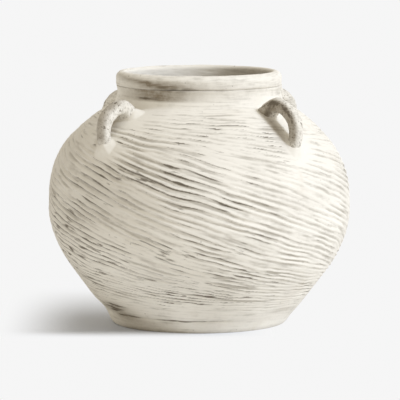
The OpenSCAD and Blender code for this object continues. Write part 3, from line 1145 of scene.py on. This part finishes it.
# The crease and the left of the rim's face are darkened: partly wash and stain, partly painted shade.
crease_wash_and_shade = bell(rim_way, RIM_SEAT + 2, 4.2) * (0.2 + 0.8 * bell(rim_view, -16, 28) + 0.6 * rim_far)
streak_way = np.interp(rim_view, [-75, -20], [RIM_EDGE + 4, RIM_FACE + 1])
edge_stain_and_shade = bell(rim_way, streak_way, 3.6) * (bell(rim_view, -45, 32) + 0.5 * rim_far)
on_face = soft_step(rim_way, RIM_SEAT, RIM_FACE) * soft_step(RIM_EDGE + 3 - rim_way, 0, 3)
rim_stain_and_shade = 0.4 * on_face * (bell(rim_view, -28, 22) + 0.5 * rim_far)
rim_stain_and_shade = rim_stain_and_shade + 0.7 * edge_stain_and_shade + 0.5 * crease_wash_and_shade
mouth_side = soft_step(rim_way, RIM_CREST + 1, RIM_CREST + 8)
keep(
    rim_mesh,
    ridge=0.3 * dents + 0.7 * lines - 0.15 + 0.7 * mouth_side,
    wash=(0.5 * crease_wash_and_shade + 0.3 * edge_stain_and_shade) * rim_streaks,
    stain=rim_stain_and_shade * rim_streaks + MOUTH_SHADE_AND_STAIN * mouth_side * mouth_shade(rim_turn),
    bare=np.zeros(len(rim_way)),
)
settle(rim_roll, "rim_roll")

# %% [markdown]
# ## Base slab
#
# The base is a thick disc with a leaning edge that goes on from the bowl's wall, with a crease between
# them. Underneath, a shallow hollow leaves a ring to stand on, and a drain hole goes through the middle.

# %% Base slab with its foot ring and drain hole
RECESS_H = 4.0
FOOT_W = 16.0
DRAIN_R = 12.0
EASE = 0.8
UNDER_WALL = 7.0
FLOOR_SWIRL = 0.35
recess_r = FOOT_C[0] - FOOT_W
floor_edge = OUTSIDE.at(0)[0]

base_profile = stretch(OUTSIDE, OUT, WAY_FOOT, 0, LOWER_ROW)
base_profile += plain(np.linspace(floor_edge - UNDER_WALL, DRAIN_R + EASE, 46), BASE_TOP)
base_profile += plain([DRAIN_R], BASE_TOP - EASE) + plain([DRAIN_R], RECESS_H + EASE)
base_profile += plain(np.linspace(DRAIN_R + EASE, recess_r - 2, 24), RECESS_H)
base_profile += plain([recess_r - 0.6], RECESS_H - 0.6) + plain([recess_r], RECESS_H - 2)
base_profile += plain([recess_r], EASE) + plain([recess_r + EASE], 0)
base_profile += plain(np.linspace(recess_r + 4, FOOT_C[0] - 3, 4), 0)
base_slab = make_piece(spin_profile(base_profile), "footed_base", combed_slip)
shape_wall(base_slab, (0,))

base_mesh = base_slab.data
base_points = places(base_mesh)
off_wall = numbers(base_mesh, "side") == PLAIN
base_r = np.hypot(base_points[:, 0], base_points[:, 1])
on_floor = off_wall & (base_points[:, 2] > BASE_TOP - 0.1) & (base_r < floor_edge - 8)
swirl = FLOOR_SWIRL * np.sin(TAU * base_r / FINGER_PITCH - turn_of(base_points))
base_points[:, 2] += np.where(on_floor, swirl * soft_step(base_r, DRAIN_R + 8, DRAIN_R + 22), 0)
move_to(base_mesh, base_points)
keep(base_mesh, bare=off_wall)
settle(base_slab, "base_slab")

# %% [markdown]
# ## Coils pressed into the joints
#
# Inside, the potter pressed a thin coil over each joint and smoothed it down with a finger. They are
# bare clay with soft finger dents, seen only from above through the mouth.

# %% Belly coil and floor coil
BELLY_COIL_R, BELLY_DENT = 5.0, 1.0
FLOOR_COIL_R, FLOOR_DENT = 7.0, 1.2
COIL_POINTS = 18
COIL_TURNS = 240
COIL_DENTS = 46


def press_coil(name, node, corner, radius, first, last, dent):
    """A coil in a corner of the profile, round from the first to the last angle, with finger dents."""
    arc = bend(corner, radius, first, last)
    spread = np.linspace(0, len(arc) - 1, COIL_POINTS).astype(int)
    shares = np.linspace(0, 1, COIL_POINTS)
    profile = [(r, z, share, OUT) for (r, z), share in zip(arc[spread, :2], shares)]
    profile += plain([corner[0] + 0.5], corner[1])
    piece = make_piece(spin_profile(profile, COIL_TURNS), name, bare_stoneware)
    mesh = piece.data
    points = places(mesh)
    turn = turn_of(points)
    hold = np.sin(math.pi * np.clip(numbers(mesh, "way"), 0, 1)) * numbers(mesh, "side")
    finger = 0.5 + 0.5 * np.sin(turn * COIL_DENTS + 1.5 * np.sin(turn * 5))
    points[:, :2] += (dent * hold * finger)[:, None] * ray(turn)
    move_to(mesh, points)
    settle(piece, node)


belly_coil = (BODY_R - WALL, SCARF_HIGH), BELLY_COIL_R, QUARTER, 3 * QUARTER
press_coil("pressed_belly_coil", "belly_seam_coil", *belly_coil, BELLY_DENT)
floor_coil = floor_corner, FLOOR_COIL_R, QUARTER - LEAN, math.pi
press_coil("pressed_floor_coil", "floor_seam_coil", *floor_coil, FLOOR_DENT)

# %% [markdown]
# ## Loop handles
#
# Each handle is a coil of clay bent over the shoulder. Fingers pressed it nearly square, spread its
# upper root on the wall and tucked its lower end in. No two loops are alike, so each has its own
# draw-in. A circle is spun along the loop, then every ring is squared, flared and dented in code.
# Its ends run into the wall, so no open end shows. The side that faces left is darkened by wash and by
# painted shade.

# %% Shape of a handle
LOOP_R = 32.0
LOOP_SINK = 12.5
COIL_R = 7.0
ROOT_UP = math.radians(127)
ROOT_DOWN = math.radians(-25)
ROOT_SINK = math.radians(13)
LOOP_STEPS = 96
LOOP_SECTION = 40
SQUARE = 2.6
LOWER_TUCK, UPPER_TUCK = 4.0, 6.5
LOOP_SWAY = 0.9


def shape_coil(vert, seed, drawn_in):
    """Square, flare and dent one vertex of a loop that lies round the origin in the XZ plane."""
    angle = math.atan2(vert.co.z, vert.co.x)
    away = math.hypot(vert.co.x, vert.co.z) - LOOP_R
    side, along = vert.co.y, math.degrees(angle)
    upper, tucked, lower = [soft_step(along, *ends) for ends in ((65, 120), (85, 125), (45, -25))]
    squared = (abs(away / COIL_R) ** SQUARE + abs(side / COIL_R) ** SQUARE) ** (-1 / SQUARE)
    spot = vert.co + Vector((0, 200 * seed, 0))
    dent = 0.8 * noise.noise(spot * 0.055) + 0.45 * noise.noise(spot * 0.17) + 0.2 * noise.noise(spot * 0.5)
    grow = squared + dent / COIL_R if away or side else 1
    flat = 1.04 + 0.22 * upper - 0.10 * lower
    wide = 1.10 + 0.30 * upper - 0.10 * lower
    reach = LOOP_R - drawn_in - LOWER_TUCK * lower - UPPER_TUCK * tucked + away * flat * grow
    reach += LOOP_SWAY * noise.noise(Vector((angle * 1.3, seed, 0))) + 5.0 * upper * min(away / COIL_R, 0)
    sway = LOOP_SWAY * noise.noise(Vector((angle * 1.1, seed, 7)))
    vert.co = (reach * math.cos(angle), side * wide * grow + sway, reach * math.sin(angle))
    return side / COIL_R, away / COIL_R, along


def handle_tool(seed, drawn_in):
    tool = bmesh.new()
    ring = bmesh.ops.create_circle(tool, segments=LOOP_SECTION, radius=COIL_R)["verts"]
    stand = Matrix.Rotation(ROOT_SINK - ROOT_DOWN, 4, "Y") @ Matrix.Translation((LOOP_R, 0, 0))
    bmesh.ops.transform(tool, verts=ring, matrix=stand)
    ring_edges = list({edge for vert in ring for edge in vert.link_edges})
    spin(tool, ring + ring_edges, ROOT_UP - ROOT_DOWN + 2 * ROOT_SINK, LOOP_STEPS, (0, -1, 0))
    open_edges = [edge for edge in tool.edges if edge.is_boundary]
    bmesh.ops.holes_fill(tool, edges=open_edges, sides=0)
    bmesh.ops.recalc_face_normals(tool, faces=tool.faces[:])
    layers = [tool.verts.layers.float.new(name) for name in ("face", "outer", "along")]
    for vert in tool.verts:
        for layer, number in zip(layers, shape_coil(vert, seed, drawn_in)):
            vert[layer] = number
    return tool


print(f"a loop has {LOOP_STEPS + 1} rings of {LOOP_SECTION} points")

# %% Four handles
SIDES = {"right": 0, "back": 1, "left": 2, "front": 3}
DRAWN_IN = {"right": 0.0, "back": 0.5, "left": 3.0, "front": 2.4}
# Where each handle's darkened side begins, and how dark its outer face is: stain and painted shade.
SHADE_AND_STAIN_FROM = {"right": 0.3, "back": 1.0, "left": 0.0, "front": 0.6}
OUTER_STAIN_AND_SHADE = {"right": 0.0, "back": 0.0, "left": 0.5, "front": 0.8}
loop_c = (SHOULDER_C + (SHOULDER_R - LOOP_SINK) * ray(HANDLE_AT)) * MM


# Each handle's left side is darkened: partly wash and stain, partly painted shade.
def stain_and_shade_handle(mesh, name):
    spots = places(mesh)
    pits = noise_at(spots * 0.75) + 0.5 * noise_at(spots * 0.3)
    patch = noise_at(spots * 0.09)
    face, outer, along = [numbers(mesh, layer) for layer in ("face", "outer", "along")]
    left_side = soft_step(-face, SHADE_AND_STAIN_FROM[name], SHADE_AND_STAIN_FROM[name] + 0.6)
    outer_side = OUTER_STAIN_AND_SHADE[name] * soft_step(outer, 0.15, 0.95) * (1 - 0.7 * soft_step(along, 55, 95))
    dirt_and_shade = np.maximum(left_side, outer_side) * (1 - 0.8 * soft_step(-along, 0, 18))
    # A dark line along the edge of the left side: painted shade.
    painted_edge_shade = left_side * bell(outer, 0.4, 0.22) * soft_step(pits + patch, -0.5, 0.1)
    pitted = soft_step(-pits, 0.1, 0.5) * soft_step(patch + dirt_and_shade, -0.5, 0.2)
    smudges_and_shade = dirt_and_shade * soft_step(patch + 0.8 * pits, 0.0, 0.4)
    wash_held = 0.62 * pitted + 0.5 * smudges_and_shade + 0.5 * painted_edge_shade
    keep(mesh, ridge=1.2 * pits - 0.45, wash=wash_held, stain=0.8 * dirt_and_shade * (0.9 + 0.3 * patch) + 0.05)


for name, quarter in SIDES.items():
    tool = handle_tool(quarter + 1, DRAWN_IN[name])
    set_down = Matrix.Rotation(quarter * QUARTER, 4, "Z")
    set_down = set_down @ Matrix.Translation((loop_c[0], 0, loop_c[1])) @ Matrix.Scale(MM, 4)
    bmesh.ops.transform(tool, verts=tool.verts, matrix=set_down)
    loop = make_piece(tool, f"coiled_handle_{name}", combed_slip)
    stain_and_shade_handle(loop.data, name)
    settle(loop, f"handle_{name}")

# %% [markdown]
# ## Pads of clay at the roots
#
# Where a loop meets the shoulder, a pad of wet clay was smeared round it. A pad is a low mound: highest
# against the coil and thin as paper at its edge, longer on the side where the thumb dragged it. A small
# profile is spun into a disc, and the disc is then laid onto the combed shoulder.

# %% Eight pads
PAD_H = {"upper": 6.0, "lower": 5.0}
PAD_SHIFT = {"upper": -9.0, "lower": 3.0}
PAD_SIDE = {"upper": 4.0, "lower": 1.5}
PAD_SEED = {"upper": 5, "lower": 2}
PAD_RINGS, PAD_UNDER = 22, 7
PAD_SPOKES = 96
PAD_EDGE, PAD_RAGGED, PAD_DRAG = 14.0, 2.5, 2.5
PAD_TUCK = 1.6


def pad_tool():
    """A disc of radius 1 with a closed underside; heights follow later."""
    tool = bmesh.new()
    top = tool.verts.layers.float.new("top")
    rail = []
    for share in np.linspace(0, 1, PAD_RINGS):
        rail.append(tool.verts.new((share, 0, 0)))
        rail[-1][top] = 1
    for share in np.linspace(0.98, 0, PAD_UNDER):
        rail.append(tool.verts.new((share, 0, -0.1)))
    edges = [tool.edges.new(pair) for pair in zip(rail, rail[1:])]
    spin(tool, rail + edges, TAU, PAD_SPOKES, use_merge=True)
    return close_up(tool)


def lay_pad(mesh, level, quarter):
    points = places(mesh) * MM
    share = np.hypot(points[:, 0], points[:, 1])
    spoke = turn_of(points)
    seed = 10 * quarter + PAD_SEED[level]
    ragged = noise_at(columns(np.cos(spoke) * 1.6, np.sin(spoke) * 1.6, seed))
    dragged = np.maximum(-np.sin(spoke), 0) if level == "lower" else np.cos(spoke) ** 2
    edge = PAD_EDGE + PAD_RAGGED * ragged + PAD_DRAG * dragged
    rightward, upward = share * edge * ray(spoke).T
    way = np.minimum(PAD_WAYS[level] + PAD_SHIFT[level] + upward, WAY_TOP - 1)
    turn = quarter * QUARTER + (PAD_SIDE[level] + rightward) / OUTSIDE.at(way)[0]
    bumps = noise_at(columns(rightward * 0.16, upward * 0.16, seed + 3))
    mound = PAD_H[level] * (1 - share**2) ** 2 * (1 + 0.25 * bumps)
    lift = np.where(numbers(mesh, "top") > 0.5, mound - 0.35 * share**6, -PAD_TUCK)
    lift = lift + 0.25 * bumps * (1 - share)
    waver = read_chart(hand, turn, way)
    wall_lift = waver + 0.5 * (read_chart(relief, turn, way) - waver)
    move_to(mesh, on_line(OUTSIDE, turn, way, wall_lift + lift))
    tone = (1 - share**2) * (0.4 + bumps) + share**2 * read_chart(ridge_tone, turn, way)
    wash_held = 0.35 * soft_step(-bumps, 0.25, 0.6)
    keep(mesh, ridge=tone, wash=wash_held, stain=read_chart(stain, turn, way))


for level in PAD_WAYS:
    for name, quarter in SIDES.items():
        pad = make_piece(pad_tool(), f"smeared_{level}_pad_{name}", combed_slip)
        lay_pad(pad.data, level, quarter)
        settle(pad, f"{level}_pad_{name}")

# %% [markdown]
# ## Drain plug
#
# A rubber stopper closes the drain hole and lifts out by its knob. It is turned like the pot, with
# rounded edges, a waist under the knob and a moulding line round its flange. Its outline is given by
# its corners and how far each point lies from a corner, outward and upward.

# %% Rubber plug
STEM_R = 11.95
FLANGE_H = 4.0
KNOB_R = 7.0
PLUG_TURNS = 96
PLUG_SHARP = 35
(_, _, plug_low), (flange_r, _, plug_high) = box_mm("drain_plug")
flange_top = BASE_TOP + FLANGE_H
PLUG_CORNERS = [
    (0, plug_low, [(0, 0)]),
    (STEM_R, plug_low, [(-1.9, 0), (-1.1, 0.3), (-0.2, 1.3), (0, 2.0)]),
    (STEM_R, BASE_TOP, [(0, 0)]),
    (flange_r, BASE_TOP, [(-0.5, 0), (0, 0.5), (0, 1.4), (-0.25, 1.6), (0, 1.8)]),
    (flange_r, flange_top, [(-0.4, -1.1), (-1.2, -0.4), (-2.4, 0)]),
    (KNOB_R, flange_top, [(3.0, 0), (1.0, 0.3), (-0.3, 1.2), (-0.8, 2.6), (-0.4, 4.0), (0, 5.2)]),
    (KNOB_R, plug_high, [(-0.2, -2.2), (-1.0, -1.0), (-2.3, -0.25), (-3.8, 0)]),
    (0, plug_high, [(0, 0)]),
]
plug_profile = []
for radius, height, offsets in PLUG_CORNERS:
    plug_profile += [(radius + out, height + up, 0, PLAIN) for out, up in offsets]
plug_tool = spin_profile(plug_profile, PLUG_TURNS)
on_axis = [vert for vert in plug_tool.verts if math.hypot(vert.co.x, vert.co.y) < 1e-6]
axis_edges = [edge for edge in plug_tool.edges if all(vert in on_axis for vert in edge.verts)]
bmesh.ops.delete(plug_tool, geom=axis_edges, context="EDGES")
stopper = make_piece(plug_tool, "rubber_stopper", moulded_rubber, PLUG_SHARP)
settle(stopper, "drain_plug", "plug")

# %% [markdown]
#
# The dressed model has to keep the CAD model's size. The last line prints the box round every shown
# piece, in metres.

# %% Print the box of the dressed model
bpy.context.view_layer.update()
low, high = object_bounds()
print("visual box in metres:", [round(x, 4) for x in (*low, *high)])
